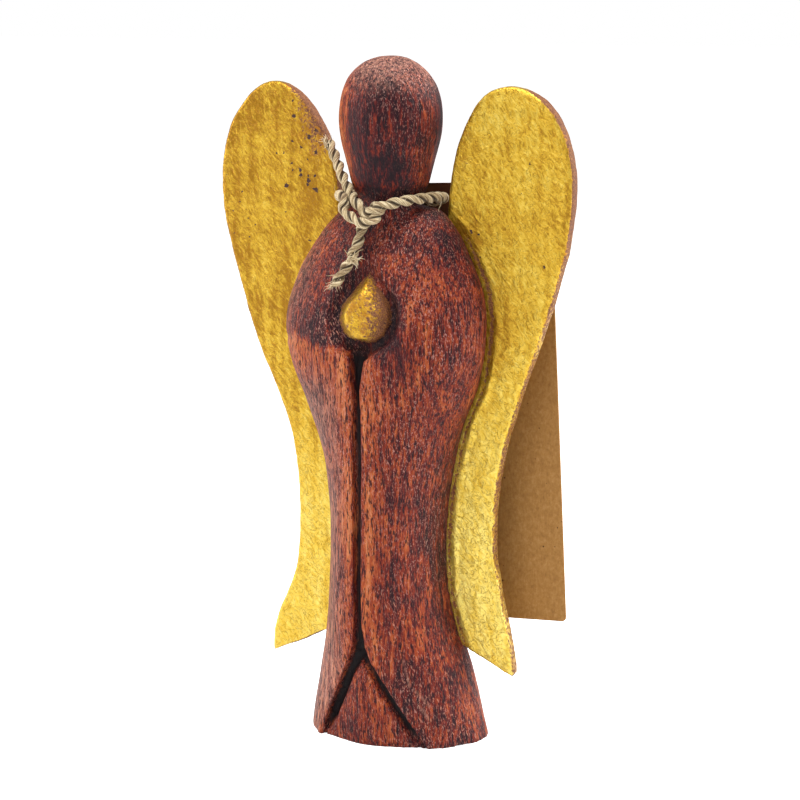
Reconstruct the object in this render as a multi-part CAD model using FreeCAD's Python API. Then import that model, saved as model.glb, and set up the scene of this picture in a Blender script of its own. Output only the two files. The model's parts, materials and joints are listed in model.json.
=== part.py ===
# Carved wooden angel: a carved block, two wing boards, their dowels, a neck cord and a card.
# Millimetres. +Z is up, -Y is the front, +X is to the right of someone facing the front.
# The origin is on the floor, under the middle of the figure, in the plane of the wings' front faces.
import FreeCAD, Part
import math
import os

Vector = FreeCAD.Vector
X_AXIS, Y_AXIS, Z_AXIS = Vector(1, 0, 0), Vector(0, 1, 0), Vector(0, 0, 1)

# ---- Driving dimensions -------------------------------------------------------------------
FIGURE_HEIGHT = 200.0
SHOULDER_Z = 157.0  # the robe's top, on which the cord lies

# Robe sections from the floor up: height, middle x, half width, front y, back y, depth of the
# widest line. They are smooth ovals; the seat for the wings is cut from their backs later.
ROBE = (
    (0.0, 2.3, 27.6, -21.5, 15.5, 0.0),
    (6.0, 2.1, 26.4, -22.0, 15.3, 0.0),
    (14.0, 1.9, 24.6, -22.3, 14.8, 0.0),
    (25.0, 1.2, 22.0, -22.7, 13.7, 0.0),
    (38.0, 0.2, 18.9, -23.2, 12.7, 0.0),
    (60.0, 0.0, 17.3, -23.4, 9.0, 0.0),
    (80.0, 0.3, 19.2, -23.4, 7.0, -1.0),
    (95.0, 0.2, 23.5, -23.6, 6.0, -2.0),
    (106.0, 0.0, 28.2, -23.8, 6.0, -3.0),
    (117.0, -0.4, 31.0, -23.8, 6.0, -4.0),
    (128.0, 0.0, 30.7, -22.2, 6.0, -4.0),
    (138.0, 0.4, 27.6, -19.2, 6.0, -4.0),
    (147.0, 1.0, 22.8, -15.8, 5.5, -4.5),
    (153.5, 1.4, 18.4, -12.6, 5.0, -4.5),
    (SHOULDER_Z, 1.4, 14.2, -10.2, 4.0, -4.0),
)
SECTION_POINTS = 20
ROBE_ROUNDNESS = 2.05  # exponent of the oval sections; 2 is an ellipse

# Head: an egg on a short neck, turned about an upright axis.
HEAD_X, HEAD_Y = 1.0, -4.5
HEAD_PROFILE = (  # radius, height below the crown
    (0.0, 0.0),
    (7.6, 2.0),
    (11.6, 5.8),
    (14.0, 11.0),
    (14.8, 17.0),
    (14.1, 24.0),
    (12.4, 31.0),
    (11.0, 36.5),
)
CHIN_RADIUS = 10.0
CHIN_DROP = 40.0  # from the crown to the chin's edge
CHIN_TANGENT = Vector(-0.2, 0, -1)  # the way the egg's outline runs at the chin
NECK_RADIUS = 8.2
NECK_ROOT = 7.0  # how far the neck runs down inside the robe
NECK_UNDERCUT = 1.6  # height over which the chin runs in to the neck

# Carving on the front of the robe.
GROOVE_X = -1.2
GROOVE_WIDTH = 2.5
GROOVE_DEPTH = 3.0
HEM_Z = 29.0  # where the robe parts, at the foot of the groove
HEM_LEFT_X, HEM_RIGHT_X = -15.2, 17.2  # where its two edges reach the floor
HEM_BAND = 2.6  # width of the two grooves along the parted hem
HEM_DEPTH = 2.6
PANEL_DEPTH = 1.4  # how far the panel between them lies back
FLOOR_RUNOUT = 4.0  # the hem's cuts run this far out past the floor

# The carved drop held at the breast.
DROP_X = 0.2
DROP_TIP_Z = 138.6
DROP_BOTTOM_Z = 119.2
DROP_WIDTH = 14.8
DROP_HOLLOW = 2.3  # gap of the hollow round it
HOLLOW_TIP = 1.4  # the hollow's gap is this many times as large at the tip
HOLLOW_DEPTH = 3.4
DROP_RISE = 0.9  # the drop's face lies this far under the robe's face

# Wing boards. One outline serves both, with small hand-made differences: distances from the
# middle of the back to the widest point, the waist, the lower tip and the crown, and to the
# inner edge beside the temple and beside the neck, where it is clear of the cord.
WING_THICKNESS = 4.5
WING_EDGE_ROUND = 0.9
WING_TOP_Z = 191.6
SPINE_GAP = 1.2  # between the two boards at the middle of the back
TAIL_APEX_Z = 38.0  # where the slanting cuts under the two wings would meet
TAIL_SLOPE = 25.6  # degrees, of those cuts
WING_SHAPES = {
    "left": {
        "side": -1, "widest": 57.2, "waist": 31.6, "tip": 41.0,
        "crown": 41.5, "temple": 26.2, "neck": 17.9,
    },
    "right": {
        "side": 1, "widest": 55.5, "waist": 31.8, "tip": 38.5,
        "crown": 37.6, "temple": 23.3, "neck": 17.2,
    },
}
WING_INNER_DROP = 22.0  # height over which the inner edge runs in to the middle of the back
SEAT_CLEARANCE = 0.3  # between the wings' lower cuts and the robe's foot
SEAT_NECK_HALF = 13.0  # the seat's cut passes either side of the neck
SEAT_NECK_Z = 150.0  # and stops at this height between them

# Dowels that pin each wing to the back.
DOWEL_RADIUS = 2.0
DOWEL_CLEARANCE = 0.05
DOWEL_DEPTH = 9.0  # into the body
DOWEL_END_GAP = 0.5  # left under each dowel in its hole
DOWEL_PLACES = ((9.0, 72.0), (13.0, 114.0))  # distance from the middle, height

# Cord: a two-strand twisted rope tied round the neck. Each list is a route, point by point.
CORD_DIAMETER = 3.4
TAIL_UP = (
    (-18.5, -5.5, 175.4),
    (-16.1, -6.8, 172.0),
    (-13.4, -8.9, 168.4),
    (-10.4, -11.7, 164.9),
    (-7.8, -14.4, 161.8),
    (-4.4, -17.4, 159.2),
)
NECK_LOOP = (
    (-0.5, -18.2, 156.6),
    (3.8, -17.6, 157.5),
    (7.7, -15.4, 158.8),
    (11.3, -11.8, 159.8),
    (14.2, -7.0, 160.2),
    (15.2, -1.6, 159.9),
    (14.4, 3.8, 159.2),
    (10.6, 8.2, 158.0),
    (2.6, 8.25, 156.7),
    (2.6, 8.25, 164.45),
    (-1.3, 16.75, 164.45),
    (-1.6, 16.75, 155.95),
    (-1.9, 8.25, 155.95),
    (-9.8, 7.8, 157.4),
    (-13.4, 3.4, 158.9),
    (-14.0, -2.4, 159.5),
    (-13.2, -7.8, 159.5),
    (-11.6, -12.4, 158.6),
    (-9.2, -16.2, 157.0),
    (-5.2, -19.2, 155.2),
)
TAIL_DOWN = (
    (-1.0, -17.2, 154.0),
    (-2.3, -17.2, 151.2),
    (-2.5, -17.9, 148.4),
    (-3.5, -18.8, 145.6),
    (-4.2, -19.8, 142.8),
    (-5.6, -20.8, 140.2),
    (-6.9, -21.9, 137.7),
    (-8.5, -22.7, 135.4),
)
RUN_SHARE = 0.45  # share of the shorter run that each of the cord's arcs takes
KNOT_CENTRE = Vector(-2.2, -18.4, 156.3)
KNOT_LENGTH, KNOT_THICKNESS = 16.0, 9.4
KNOT_SLOPE = 24.0  # degrees, its long axis down towards +X

# Card, hanging on the cord behind the neck.
CARD_WIDTH, CARD_HEIGHT, CARD_THICKNESS = 84.0, 130.0, 0.6
CARD_CORNER = 1.2
CARD_HOLE_RADIUS = 3.0
CARD_HOLE_OFFSET = -3.4  # from the card's middle line
CARD_STRIP = 4.0  # card left above the hole
CARD_HINGE = Vector(-1.6, 12.5, 160.2)  # middle of that strip, inside the cord's turn
CARD_ROLL = 2.6  # degrees in its own plane
CARD_CLEARANCE = 0.6  # between its lower end and the back of the foot

CUT_REACH = 60.0  # how far the cutting shapes reach past the wood


def oval_wire(height, middle, half_width, front, back, widest, inset=0.0):
    """One closed section of the robe, moved inwards by inset."""
    points = []
    power = 2 / ROBE_ROUNDNESS
    for k in range(SECTION_POINTS):
        turn = 2 * math.pi * k / SECTION_POINTS
        across, along = math.cos(turn), math.sin(turn)
        depth = (back - widest) if along > 0 else (widest - front)
        x = middle + (half_width - inset) * math.copysign(abs(across) ** power, across)
        y = widest + (depth - inset) * math.copysign(abs(along) ** power, along)
        points.append(Vector(x, y, height))
    curve = Part.BSplineCurve()
    curve.interpolate(Points=points, PeriodicFlag=True)
    return Part.Wire([curve.toShape()])


def robe_solid(inset=0.0):
    return Part.makeLoft([oval_wire(*section, inset=inset) for section in ROBE], True, False)


def head_and_neck():
    """The egg and the neck as one turned shape."""
    crown = FIGURE_HEIGHT
    chin = crown - CHIN_DROP
    foot = SHOULDER_Z - NECK_ROOT
    outer = [Vector(r, 0, crown - drop) for r, drop in HEAD_PROFILE]
    outer.append(Vector(CHIN_RADIUS, 0, chin))
    egg = Part.BSplineCurve()
    egg.interpolate(Points=outer, InitialTangent=X_AXIS, FinalTangent=CHIN_TANGENT)
    neck_top = Vector(NECK_RADIUS, 0, chin - NECK_UNDERCUT)
    neck_foot = Vector(NECK_RADIUS, 0, foot)
    corners = [outer[-1], neck_top, neck_foot, Vector(0, 0, foot), outer[0]]
    edges = [egg.toShape()] + [Part.makeLine(a, b) for a, b in zip(corners, corners[1:])]
    turned = Part.Face(Part.Wire(edges)).revolve(Vector(0, 0, 0), Z_AXIS, 360)
    turned.translate(Vector(HEAD_X, HEAD_Y, 0))
    return turned


def prism(outline, y_from, y_to):
    """A solid with the given (x, z) outline between two depths."""
    points = [Vector(x, y_from, z) for x, z in outline]
    face = Part.Face(Part.makePolygon(points + points[:1]))
    return face.extrude(Vector(0, y_to - y_from, 0))


def band(x1, z1, x2, z2, width):
    """A straight band of the given width, as an (x, z) outline."""
    run = math.hypot(x2 - x1, z2 - z1)
    nx = -(z2 - z1) / run * width / 2
    nz = (x2 - x1) / run * width / 2
    return [(x1 + nx, z1 + nz), (x2 + nx, z2 + nz), (x2 - nx, z2 - nz), (x1 - nx, z1 - nz)]


def hem_bands():
    """The two grooves of the parted hem, as (x, z) outlines."""
    legs = []
    for foot_x in (HEM_LEFT_X, HEM_RIGHT_X):
        lean = (foot_x - GROOVE_X) / HEM_Z
        legs.append(band(GROOVE_X, HEM_Z, foot_x + lean * FLOOR_RUNOUT, -FLOOR_RUNOUT, HEM_BAND))
    return legs


def hem_panel():
    """The part between the two grooves, down past the floor."""
    return [
        (GROOVE_X, HEM_Z),
        (HEM_LEFT_X, 0.0),
        (HEM_LEFT_X, -FLOOR_RUNOUT),
        (HEM_RIGHT_X, -FLOOR_RUNOUT),
        (HEM_RIGHT_X, 0.0),
    ]


def drop_solid(grow):
    """The drop's outline through the front: a round bottom and two straight sides up to a tip."""
    radius = DROP_WIDTH / 2 + grow
    centre_z = DROP_BOTTOM_Z + DROP_WIDTH / 2
    tip = Vector(DROP_X, -CUT_REACH, DROP_TIP_Z + HOLLOW_TIP * grow)
    bottom = Vector(DROP_X, -CUT_REACH, centre_z - radius)
    half_angle = math.acos(radius / (tip.z - centre_z))  # between the tip and the tangent points
    across, up = radius * math.sin(half_angle), radius * math.cos(half_angle)
    left = Vector(DROP_X - across, -CUT_REACH, centre_z + up)
    right = Vector(DROP_X + across, -CUT_REACH, centre_z + up)
    edges = [Part.Arc(left, bottom, right).toShape(), Part.makeLine(right, tip), Part.makeLine(tip, left)]
    return Part.Face(Part.Wire(edges)).extrude(Vector(0, CUT_REACH, 0))


def tail_height(x):
    """Height of the cut under the wings at a distance x from the middle."""
    return TAIL_APEX_Z - abs(x) * math.tan(math.radians(TAIL_SLOPE))


def seat_cutter():
    """What is cut from the back so that the wings lie flat on it, down to the slope under them."""
    apex_z = tail_height(0.0) - SEAT_CLEARANCE
    edge_z = tail_height(CUT_REACH) - SEAT_CLEARANCE
    over_z = SHOULDER_Z + NECK_ROOT
    outline = [
        (0.0, apex_z),
        (CUT_REACH, edge_z),
        (CUT_REACH, over_z),
        (SEAT_NECK_HALF, over_z),
        (SEAT_NECK_HALF, SEAT_NECK_Z),
        (-SEAT_NECK_HALF, SEAT_NECK_Z),
        (-SEAT_NECK_HALF, over_z),
        (-CUT_REACH, over_z),
        (-CUT_REACH, edge_z),
    ]
    return prism(outline, 0.0, CUT_REACH)


def dowel_rods(side, radius, y_from, y_to):
    rods = []
    for away, height in DOWEL_PLACES:
        start = Vector(side * away, y_from, height)
        rods.append(Part.makeCylinder(radius, y_to - y_from, start, Y_AXIS))
    return rods


def dowel_bores(side):
    """The holes for one wing's dowels, through the board and into the body."""
    bottom = -DOWEL_DEPTH - DOWEL_END_GAP
    return dowel_rods(side, DOWEL_RADIUS + DOWEL_CLEARANCE, bottom, WING_THICKNESS + CUT_REACH)


def carved_body():
    """The robe with its carving, seat, head and dowel holes. Every recess keeps one depth."""
    legs = hem_bands()
    upright = band(GROOVE_X, HEM_Z - HEM_BAND / 2, GROOVE_X, DROP_BOTTOM_Z, GROOVE_WIDTH)
    recesses = [
        (prism(upright, -CUT_REACH, 0.0), GROOVE_DEPTH),
        (prism(legs[0], -CUT_REACH, 0.0), HEM_DEPTH),
        (prism(legs[1], -CUT_REACH, 0.0), HEM_DEPTH),
        (prism(hem_panel(), -CUT_REACH, 0.0), PANEL_DEPTH),
        (drop_solid(DROP_HOLLOW), HOLLOW_DEPTH),
    ]
    body = robe_solid()
    for outline, depth in recesses:
        body = body.cut(outline.cut(robe_solid(depth)))
    body = body.fuse(drop_solid(0.0).common(robe_solid(DROP_RISE)))
    body = body.cut(seat_cutter())
    body = body.fuse(head_and_neck())
    for bore in dowel_bores(-1) + dowel_bores(1):
        body = body.cut(bore)
    return body


def wing_rim(shape):
    """The curved part of a wing's outline, from its lower tip over the crown to the neck."""
    widest, waist, tip, crown = (shape[name] for name in ("widest", "waist", "tip", "crown"))
    temple, neck = shape["temple"], shape["neck"]
    cheek = neck + (temple - neck) / 3
    return [
        (tip, tail_height(tip)),
        (tip - 1.6, TAIL_APEX_Z - 8.0),
        (waist + 2.0, TAIL_APEX_Z + 6.0),
        (waist, TAIL_APEX_Z + 23.0),
        (waist + 1.0, TAIL_APEX_Z + 39.0),
        (waist + 5.0, TAIL_APEX_Z + 56.0),
        (widest - 12.6, TAIL_APEX_Z + 74.0),
        (widest - 6.2, TAIL_APEX_Z + 93.0),
        (widest - 1.6, TAIL_APEX_Z + 110.0),
        (widest, WING_TOP_Z - 28.6),
        (widest - 2.4, WING_TOP_Z - 14.6),
        (widest - 9.0, WING_TOP_Z - 4.2),
        (crown, WING_TOP_Z),
        (crown - 8.6, WING_TOP_Z - 1.8),
        (temple, WING_TOP_Z - 8.6),
        (cheek, WING_TOP_Z - 18.6),
        (neck, SHOULDER_Z + 2.6),
        (neck - 1.0, SHOULDER_Z - 8.4),
    ]


def wing_board(shape):
    """A flat board with a rounded top, a waist and a slanting cut at its lower end."""
    side = shape["side"]
    outline = [Vector(side * x, 0, z) for x, z in wing_rim(shape)]
    rim = Part.BSplineCurve()
    rim.interpolate(outline)
    spine_x = side * SPINE_GAP / 2
    corners = [
        outline[-1],
        Vector(spine_x, 0, outline[-1].z - WING_INNER_DROP),
        Vector(spine_x, 0, tail_height(spine_x)),
        outline[0],
    ]
    edges = [rim.toShape()] + [Part.makeLine(a, b) for a, b in zip(corners, corners[1:])]
    board = Part.Face(Part.Wire(edges)).extrude(Vector(0, WING_THICKNESS, 0))
    rim_edges = [e for e in board.Edges if e.Length > WING_TOP_Z - TAIL_APEX_Z]
    board = board.makeFillet(WING_EDGE_ROUND, rim_edges)
    for bore in dowel_bores(side):
        board = board.cut(bore)
    return board


def wing_dowels(side):
    """Two dowels, flush with the back of the board."""
    return Part.makeCompound(dowel_rods(side, DOWEL_RADIUS, -DOWEL_DEPTH, WING_THICKNESS))


def cord_path(points, name):
    """Straight runs joined by arcs as large as the runs allow."""
    points = [Vector(*p) for p in points]
    edges, radii = [], []
    start = points[0]
    for before, corner, after in zip(points, points[1:], points[2:]):
        into, out = corner - before, after - corner
        half_turn = into.getAngle(out) / 2
        trim = RUN_SHARE * min(into.Length, out.Length)
        radius = trim / math.tan(half_turn)
        radii.append(round(radius, 1))
        a = corner - into.normalize() * trim
        b = corner + out.normalize() * trim
        inwards = ((a + b) / 2 - corner).normalize()
        middle = corner + inwards * (radius / math.cos(half_turn) - radius)
        edges.append(Part.LineSegment(start, a).toShape())
        edges.append(Part.Arc(a, middle, b).toShape())
        start = b
    edges.append(Part.LineSegment(start, points[-1]).toShape())
    print(name, "arc radii", radii)
    return Part.Wire(edges)


def cord_tube(points, name):
    path = cord_path(points, name)
    along = (Vector(*points[1]) - Vector(*points[0])).normalize()
    ring = Part.Wire([Part.makeCircle(CORD_DIAMETER / 2, Vector(*points[0]), along)])
    tube = path.makePipeShell([ring], True, False)
    expected = math.pi * CORD_DIAMETER ** 2 / 4 * path.Length
    print(name, "length", round(path.Length, 1), "volume ratio", round(tube.Volume / expected, 4))
    return tube


def cord_knot():
    """The outer shape of the tied knot: an egg-shaped lump round a slanting axis."""
    half, thick = KNOT_LENGTH / 2, KNOT_THICKNESS / 2
    arc = Part.Arc(Part.Ellipse(Vector(0, 0, 0), half, thick), 0, math.pi).toShape()
    closing = Part.makeLine(Vector(-half, 0, 0), Vector(half, 0, 0))
    lump = Part.Face(Part.Wire([arc, closing])).revolve(Vector(0, 0, 0), X_AXIS, 360)
    lump.rotate(Vector(0, 0, 0), Y_AXIS, KNOT_SLOPE)
    lump.translate(KNOT_CENTRE)
    return lump


def robe_back(height):
    """Back y of the robe, straight between its sections."""
    for below, above in zip(ROBE, ROBE[1:]):
        if below[0] <= height <= above[0]:
            share = (height - below[0]) / (above[0] - below[0])
            return below[4] + share * (above[4] - below[4])
    return ROBE[0][4]


def card_lean(bottom):
    """Degrees that the card's lower end is held back by the foot; a short card hangs plumb."""
    leans = [0.0]
    for height in [bottom] + [section[0] for section in ROBE]:
        if bottom <= height < TAIL_APEX_Z:
            out = robe_back(height) + CARD_CLEARANCE + CARD_THICKNESS / 2 - CARD_HINGE.y
            leans.append(math.degrees(math.atan2(out, CARD_HINGE.z - height)))
    return max(leans)


def hanging_card():
    """A plain card with round corners and one punched hole, built upright and then tilted."""
    top = CARD_HINGE.z + CARD_STRIP / 2
    left = CARD_HINGE.x - CARD_HOLE_OFFSET - CARD_WIDTH / 2
    front = CARD_HINGE.y - CARD_THICKNESS / 2
    lower_left = Vector(left, front, top - CARD_HEIGHT)
    sheet = Part.makeBox(CARD_WIDTH, CARD_THICKNESS, CARD_HEIGHT, lower_left)
    corners = [e for e in sheet.Edges if abs(e.tangentAt(e.FirstParameter).y) > 0.5]
    sheet = sheet.makeFillet(CARD_CORNER, corners)
    hole_z = top - CARD_STRIP - CARD_HOLE_RADIUS
    start = Vector(CARD_HINGE.x, front - CARD_THICKNESS, hole_z)
    sheet = sheet.cut(Part.makeCylinder(CARD_HOLE_RADIUS, 3 * CARD_THICKNESS, start, Y_AXIS))
    sheet.rotate(CARD_HINGE, Y_AXIS, -CARD_ROLL)
    sheet.rotate(CARD_HINGE, X_AXIS, card_lean(top - CARD_HEIGHT))
    return sheet


def build():
    knot = cord_knot()
    parts = {
        "carved_body": carved_body(),
        "wing_left": wing_board(WING_SHAPES["left"]),
        "wing_right": wing_board(WING_SHAPES["right"]),
        "wing_dowels_left": wing_dowels(-1),
        "wing_dowels_right": wing_dowels(1),
        "cord_tail_up": cord_tube(TAIL_UP, "tail up").cut(knot),
        "cord_neck_loop": cord_tube(NECK_LOOP, "neck loop").cut(knot),
        "cord_tail_down": cord_tube(TAIL_DOWN, "tail down").cut(knot),
        "cord_knot": knot,
        "hanging_card": hanging_card(),
    }
    os.makedirs("parts", exist_ok=True)
    for name, shape in parts.items():
        state = "valid" if shape.isValid() else "INVALID"
        print(name, state, "solids", len(shape.Solids), "volume", round(shape.Volume))
        shape.exportStep(os.path.join("parts", name + ".step"))


build()
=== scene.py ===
"""Looks of the carved wooden angel: stained wood, gilded wings, a twisted cord and a kraft card."""
import json
import math

import bmesh
import bpy
import numpy as np
from mathutils import Matrix, Vector


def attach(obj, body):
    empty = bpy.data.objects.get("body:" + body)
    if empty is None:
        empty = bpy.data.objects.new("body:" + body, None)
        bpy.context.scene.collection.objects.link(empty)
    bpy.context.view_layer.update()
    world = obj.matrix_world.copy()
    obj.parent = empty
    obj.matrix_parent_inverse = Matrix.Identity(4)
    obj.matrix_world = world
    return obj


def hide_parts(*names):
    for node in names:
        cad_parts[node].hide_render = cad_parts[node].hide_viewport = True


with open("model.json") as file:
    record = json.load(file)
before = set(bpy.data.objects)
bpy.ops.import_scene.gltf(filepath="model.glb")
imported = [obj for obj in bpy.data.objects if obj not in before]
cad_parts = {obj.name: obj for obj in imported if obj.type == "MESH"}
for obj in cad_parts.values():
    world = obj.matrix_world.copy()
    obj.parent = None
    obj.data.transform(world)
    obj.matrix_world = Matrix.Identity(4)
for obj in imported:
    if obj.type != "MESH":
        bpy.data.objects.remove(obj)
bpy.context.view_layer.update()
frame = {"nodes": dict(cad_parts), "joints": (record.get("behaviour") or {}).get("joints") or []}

MM = 0.001  # lengths below are in millimetres unless they say otherwise

# ---- Camera and light ---------------------------------------------------------------------------
VIEW_AZIMUTH, VIEW_PITCH = 25.0, 9.9  # degrees round from the front, and down
VIEW_DISTANCE = 735.7
VIEW_TARGET = (1.59, 0.74, 99.4)
LENS, SENSOR = 112.5, 36.0
FLOOR_HALF = 6000.0  # half the floor's side
FLOOR_GREY, FLOOR_GLOW = 0.85, 0.72  # the paper's colour, and what it adds where the camera sees it
WORLD_LIGHT = 0.42  # strength of the surroundings as a light
SOFTBOXES = (  # name, degrees round from the front, height, distance, width and height in metres, watts
    ("softbox_left", -72.0, 0.30, 0.75, (0.35, 0.7), 2.6),
    ("softbox_right", 120.0, 0.42, 0.75, (0.35, 0.7), 7.5),
    ("softbox_top", 0.0, 1.0, 0.15, (0.7, 0.7), 10.0),
    ("softbox_front", -12.0, 0.6, 1.1, (0.7, 0.7), 2.5),
)

# ---- Carving ------------------------------------------------------------------------------------
FIGURE_HEIGHT = 200.0
HEIGHTS = np.arange(int(FIGURE_HEIGHT) + 1)  # each whole millimetre up
BODY_VOXEL, WING_VOXEL = 0.55, 0.5
FRONT_Y = (-4.0, -10.0)  # the front begins at the first and is full at the second
DROP_X, DROP_TIP_Z, DROP_BOTTOM_Z, DROP_WIDTH = 0.2, 138.6, 119.2, 14.8
GROOVE_X, HEM_Z = -1.2, 29.0
HEM_LEFT_X, HEM_RIGHT_X = -15.2, 17.2
NECK_Z = (148.0, 159.0)  # where the shoulders run in to the neck
HEAD_Z = (160.0, 164.0)  # where the head's stain takes over from the neck's
SHOULDER_Z = 154.0  # the robe meets the wings below this
SLEEVE_EDGE_Z = 119.5
# Slips of the knife low on the robe, each from x, z to x, z.
SLIPS = ((11.8, 27.0, 14.2, 18.5), (15.5, 17.5, 19.0, 13.0), (16.5, 13.0, 19.5, 8.5))
BODY_PAINT = ("tone", "wax_and_sheen", "sheen_and_slips", "scuffed", "cavity")  # what the stained wood reads off the mesh
WING_Y = (-0.3, 5.0)  # the relief keeps a wing board's faces between these
LEAF_THICKNESS = 0.12
WING_LOOKS = {  # by side: wear at the crown, how far out its spots lie, spots at the crown, painted shade over that wing's leaf
    -1: (0.40, 32.0, 0.38, 0.75),
    1: (0.12, 27.0, 0.10, 0.30),
}

# ---- Cord ---------------------------------------------------------------------------------------
CORD_STEP = 0.3  # from one ring of a strand to the next
TUFT_UP = 9.5  # how far the tuft stands above the lower end
ROPE_PITCH = 8.2  # length of one whole turn of the two strands
STRAND_OFFSET = 0.74  # from the cord's middle to a strand's middle
STRAND_WIDE, STRAND_DEEP = 0.98, 0.86  # half sizes of a strand, along the cord's rim and through it
# The route, from the top end to the bottom one. Away from the knot it has the CAD cord's own points. At
# the knot and beside it the points are the strands' own, because the CAD has one plain solid there.
TAIL_UP = (
    (-18.5, -5.5, 175.4), (-16.1, -6.8, 172.0), (-13.4, -8.9, 168.4), (-10.4, -11.7, 164.9),
)
KNOT_OVER = (  # down across the front, round the other turn and away to the right
    (-7.8, -13.4, 161.8), (-5.6, -15.8, 160.2), (-3.8, -17.8, 159.3), (-1.6, -18.6, 157.4),
    (0.2, -19.0, 155.6), (2.4, -18.6, 157.2), (4.6, -17.6, 158.2), (7.8, -15.4, 159.2),
)
NECK_LOOP = (
    (11.3, -11.8, 159.8), (14.2, -7.0, 160.2), (15.2, -1.6, 159.9), (14.4, 3.8, 159.2),
    (10.6, 8.2, 158.0), (2.6, 8.25, 156.7), (2.6, 8.25, 164.45), (-1.3, 16.75, 164.45),
    (-1.6, 16.75, 155.95), (-1.9, 8.25, 155.95), (-9.8, 7.8, 157.4), (-13.4, 3.4, 158.9),
    (-14.0, -2.4, 159.5), (-13.2, -7.8, 159.5),
)
KNOT_UNDER = (  # over the left shoulder, in front of the other turn, round it and down behind
    (-11.6, -12.3, 160.3), (-8.8, -16.4, 160.7), (-6.9, -18.2, 159.2), (-7.3, -18.8, 156.8),
    (-4.9, -19.8, 155.3), (-1.8, -20.6, 154.0), (0.9, -20.9, 153.2), (2.9, -19.4, 154.4),
    (3.5, -16.2, 156.8), (1.2, -14.5, 158.0), (-1.0, -14.9, 156.2),
)
TAIL_DOWN = (
    (-1.0, -17.2, 154.0), (-2.3, -17.2, 151.2), (-2.5, -17.9, 148.4), (-3.5, -18.8, 145.6),
    (-4.2, -19.8, 142.8), (-5.6, -20.8, 140.2), (-6.9, -21.9, 137.7), (-8.5, -22.7, 135.4),
)

# ---- Card ---------------------------------------------------------------------------------------
CARD_WIDTH, CARD_HEIGHT, CARD_THICKNESS = 84.0, 130.0, 0.6  # the CAD card's own sizes
CARD_CORNER, CARD_HOLE_RADIUS, CARD_HOLE_OFFSET, CARD_STRIP = 1.2, 3.0, -3.4, 4.0
CARD_ROLL, CARD_LEAN = 2.6, 0.69  # degrees
CARD_BOW = 0.25  # how far its middle stands out
CARD_SHADE_BAND = 15.7  # height of the painted shadow band along its top, where the head and the right wing shade the card
CARD_MESH = 5.0  # longest edge of its mesh
CARD_HINGE = Vector(frame["joints"][0]["pos_m"]) / MM


# ---- Small tools --------------------------------------------------------------------------------
def smooth_step(low, high, value):
    """0 at low, 1 at high, and a smooth rise between them. Low may be the larger one."""
    share = np.clip((value - low) / (high - low), 0.0, 1.0)
    return share * share * (3 - 2 * share)


def bump_of(value, middle, width):
    """A smooth hill of height 1."""
    return np.exp(-((value - middle) / width) ** 2)


def lattice_noise(points, size, seed):
    """Smooth random values from -1 to 1. Size is that of a feature, one number or one per axis."""
    scaled = points / np.asarray(size, float) + seed * 17.31
    base = np.floor(scaled).astype(np.int64)
    part = scaled - base
    part = part * part * (3 - 2 * part)
    total = np.zeros(len(points))
    for corner in np.ndindex(2, 2, 2):
        cell = base + corner
        mixed = cell[:, 0] * 73856093 ^ cell[:, 1] * 19349663 ^ cell[:, 2] * 83492791 ^ seed * 40503
        mixed = (mixed ^ (mixed >> 13)) * 1274126177 & 0xFFFFFFFF
        mixed = (mixed ^ (mixed >> 16)) * 668265263 & 0xFFFFFFFF
        weight = np.prod(np.where(corner, part, 1 - part), axis=1)
        total += weight * (mixed / 2.0 ** 31 - 1)
    return total


def cloud(points, size, seed, layers=3):
    """Several layers of lattice noise, each half the size and half the strength."""
    size = np.asarray(size, float)
    return sum(lattice_noise(points, size / 2 ** k, seed + k) / 2 ** k for k in range(layers))


def placed(name, data):
    """A new object in the scene."""
    made = bpy.data.objects.new(name, data)
    bpy.context.scene.collection.objects.link(made)
    return made


def new_piece(name, vertices, faces):
    mesh = bpy.data.meshes.new(name)
    mesh.from_pydata(vertices, [], faces)
    mesh.shade_smooth()
    return placed(name, mesh)


def thicken(piece, thickness, offset):
    """Gives a sheet its thickness: outwards at offset 1, half to each side at 0."""
    thick = piece.modifiers.new("thick", "SOLIDIFY")
    thick.thickness, thick.offset = thickness * MM, offset


def points_of(mesh):
    """A mesh's points in millimetres, one row each."""
    co = np.zeros(len(mesh.vertices) * 3)
    mesh.vertices.foreach_get("co", co)
    return co.reshape(-1, 3) / MM


def set_points(mesh, co):
    mesh.vertices.foreach_set("co", (co * MM).ravel())
    mesh.update()


def normals_of(mesh):
    normals = np.zeros(len(mesh.vertices) * 3)
    mesh.vertex_normals.foreach_get("vector", normals)
    return normals.reshape(-1, 3)


def edges_of(mesh):
    edges = np.zeros(len(mesh.edges) * 2, np.int64)
    mesh.edges.foreach_get("vertices", edges)
    return edges.reshape(-1, 2)


def relaxed(co, edges, weight, rounds):
    """Each point moves towards the middle of its neighbours by its own weight, some rounds over."""
    count = np.maximum(np.bincount(edges.ravel(), minlength=len(co)), 1)
    for _ in range(rounds):
        middle = np.empty_like(co)
        for axis in range(3):
            total = np.bincount(edges[:, 0], co[edges[:, 1], axis], len(co))
            total += np.bincount(edges[:, 1], co[edges[:, 0], axis], len(co))
            middle[:, axis] = total / count
        co = co + weight[:, None] * (middle - co)
    return co


def paint(mesh, name, values):
    """Stores one number per point for the material to read."""
    layer = mesh.attributes.new(name, "FLOAT", "POINT")
    layer.data.foreach_set("value", np.asarray(values, np.float32))


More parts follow.
